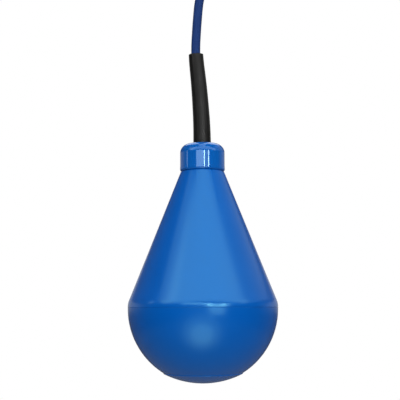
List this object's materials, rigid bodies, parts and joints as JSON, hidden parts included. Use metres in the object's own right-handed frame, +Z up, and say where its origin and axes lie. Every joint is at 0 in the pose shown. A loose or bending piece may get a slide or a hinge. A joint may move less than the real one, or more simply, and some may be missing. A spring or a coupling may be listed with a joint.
{
  "type": "cable float switch",
  "caption": "Pear-shaped plastic float with a gland cap, a bend relief sleeve and its coiled cable, holding a ball-operated switch.",
  "frame": {"origin": "the top inside edge of the cable coil's eye, where the hanging switch is held", "axes": "+Z up along the float's axis, towards the coil; the float hangs below; the coil's axis is along Y"},
  "size_m": [0.1517, 0.1, 0.3866],
  "materials": {
    "float_blue": "satin moulded polypropylene",
    "cap_blue": "gloss moulded polypropylene",
    "black_rubber": "smooth satin rubber",
    "cable_blue": "satin rubber jacket",
    "white_plastic": "natural moulded plastic",
    "tie_black": "moulded nylon",
    "core_brown": "core insulation",
    "core_blue": "core insulation",
    "core_black": "core insulation",
    "tin": "tinned",
    "zinc_steel": "zinc plated or polished steel",
    "iron": "phosphated",
    "brass": "rolled strip",
    "switch_black": "moulded thermoset",
    "switch_red": "moulded"
  },
  "bodies": {
    "float": {"upper_shell": "float_blue", "lower_shell": "float_blue", "gland_cap": "cap_blue", "neck_o_ring": "black_rubber", "cable_seal": "black_rubber", "slip_washer": "white_plastic", "bend_sleeve": "black_rubber", "cable_lead_in": "cable_blue", "cable_free": "cable_blue", "cable_coil": "cable_blue", "cable_tail": "cable_blue", "coil_tie_1": "tie_black", "coil_tie_2": "tie_black", "tail_core_brown": "core_brown", "tail_core_blue": "core_blue", "tail_core_black": "core_black", "ferrule_brown": "tin", "ferrule_blue": "tin", "ferrule_black": "tin", "switch_carrier": "white_plastic", "carrier_screws": "zinc_steel", "ballast_ring": "iron", "ball_cage": "white_plastic", "clamp_bridge": "white_plastic", "clamp_screws": "zinc_steel", "switch_screws": "zinc_steel", "switch_case": "switch_black", "switch_cover": "switch_black", "terminal_common": "brass", "terminal_open": "brass", "terminal_closed": "brass", "receptacle_brown": "tin", "receptacle_blue": "tin", "receptacle_black": "tin", "inner_core_brown": "core_brown", "inner_core_blue": "core_blue", "inner_core_black": "core_black"},
    "rolling_ball": {"ball": "zinc_steel"},
    "plunger": {"switch_plunger": "switch_red", "contact_bridge": "brass"}
  },
  "joints": [
    {"name": "ball_slide", "type": "slide", "parent": "float", "child": "rolling_ball", "axis": [0, 0, 1], "range_m": [0, 0.01561]},
    {"name": "plunger_slide", "type": "slide", "parent": "float", "child": "plunger", "axis": [0, 0, 1], "range_m": [0, 0.0014], "stiffness_N_per_m": 60, "springref_m": -0.001}
  ]
}
